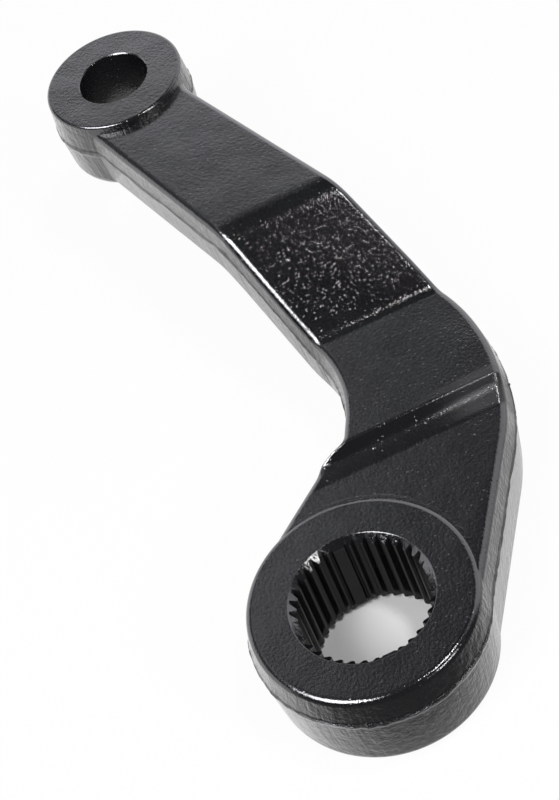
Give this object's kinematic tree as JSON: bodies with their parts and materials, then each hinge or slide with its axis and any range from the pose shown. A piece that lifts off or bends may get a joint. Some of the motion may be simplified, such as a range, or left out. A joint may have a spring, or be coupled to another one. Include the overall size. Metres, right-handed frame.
{
  "type": "pitman arm",
  "caption": "Forged steering arm with a splined eye at its wide end, a sideways and upward bend, and a small eye with a tapered stud hole.",
  "frame": {"origin": "centre of the splined bore, in the top face of the big eye", "axes": "+X points at the axis of the small eye, +Z runs along the axis of the splined bore out of the top face, and one wide tooth lies on +X"},
  "size_m": [0.2074, 0.0793, 0.0501],
  "materials": {
    "black_paint": "semi-gloss black paint over a forged surface, with fine orange peel"
  },
  "bodies": {
    "root": {"pitman_arm": "black_paint"}
  },
  "joints": []
}
